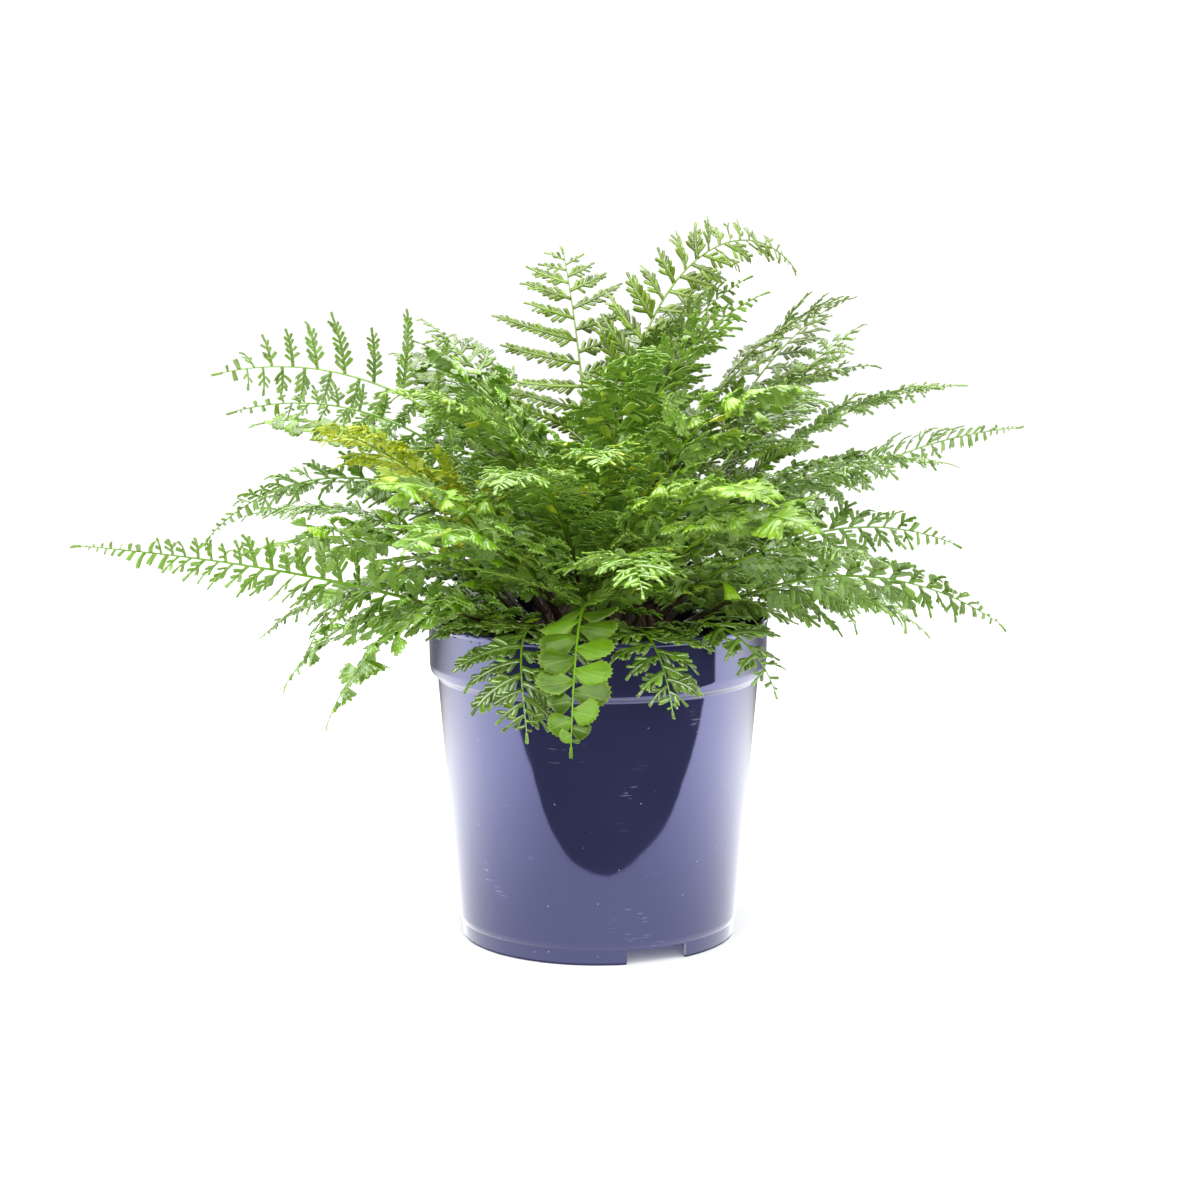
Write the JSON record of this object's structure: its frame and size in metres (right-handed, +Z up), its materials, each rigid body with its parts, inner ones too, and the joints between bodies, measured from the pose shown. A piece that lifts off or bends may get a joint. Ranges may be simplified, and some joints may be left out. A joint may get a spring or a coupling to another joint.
{
  "type": "potted fern",
  "caption": "Bushy mother fern with finely cut arching fronds, growing in a tapered nursery pot with a tall collar and a notched foot ring.",
  "frame": {"origin": "centre of the pot's foot, on the surface it stands on", "axes": "+Z up along the pot's axis; +X to the plant's right, along its widest spread; -Y the front"},
  "size_m": [0.4995, 0.4159, 0.3964],
  "materials": {
    "pot_plastic": "glossy dark navy moulded polypropylene with a violet sheen",
    "potting_soil": "rough dark brown peat and bark crumbs",
    "crown_scales": "dark brown fibrous scales and old stipe bases",
    "frond_mature": "leathery glossy deep green leaf",
    "frond_mid": "leathery mid green leaf, satin",
    "frond_young": "soft lime green young leaf, satin"
  },
  "bodies": {
    "root": {"arching_frond_01": "frond_mature", "arching_frond_02": "frond_mid", "arching_frond_03": "frond_young", "arching_frond_04": "frond_mature", "arching_frond_05": "frond_mid", "arching_frond_06": "frond_mature", "arching_frond_07": "frond_mature", "arching_frond_08": "frond_mature", "arching_frond_09": "frond_mature", "arching_frond_10": "frond_mid", "arching_frond_11": "frond_mid", "arching_frond_12": "frond_mature", "long_frond_01": "frond_mature", "long_frond_02": "frond_mature", "pot": "pot_plastic", "potting_soil": "potting_soil", "rhizome_crown": "crown_scales", "rising_frond_01": "frond_mid", "rising_frond_02": "frond_mature", "rising_frond_03": "frond_mid", "rising_frond_04": "frond_mid", "rising_frond_05": "frond_young", "rising_frond_06": "frond_young", "rising_frond_07": "frond_mature", "rising_frond_08": "frond_mid", "rising_frond_09": "frond_mature", "spreading_frond_01": "frond_mature", "spreading_frond_02": "frond_mid", "spreading_frond_03": "frond_mature", "spreading_frond_04": "frond_mature", "spreading_frond_05": "frond_mid", "spreading_frond_06": "frond_mature", "spreading_frond_07": "frond_mature", "spreading_frond_08": "frond_mature", "spreading_frond_09": "frond_mid", "spreading_frond_10": "frond_mature", "trailing_frond_01": "frond_mature", "trailing_frond_02": "frond_mature", "trailing_frond_03": "frond_mature", "trailing_frond_04": "frond_mid", "trailing_frond_05": "frond_mature", "trailing_frond_06": "frond_mature", "trailing_frond_07": "frond_mature", "trailing_frond_08": "frond_mature", "trailing_frond_09": "frond_mature", "trailing_frond_10": "frond_mid", "trailing_frond_11": "frond_mature", "trailing_frond_12": "frond_mature", "trailing_frond_13": "frond_mature", "upright_frond_01": "frond_young", "upright_frond_02": "frond_young", "upright_frond_03": "frond_mid", "upright_frond_04": "frond_young", "upright_frond_05": "frond_mature", "upright_frond_06": "frond_mature", "upright_frond_07": "frond_mid", "upright_frond_08": "frond_young", "upright_frond_09": "frond_mid", "upright_frond_10": "frond_young"}
  },
  "joints": []
}
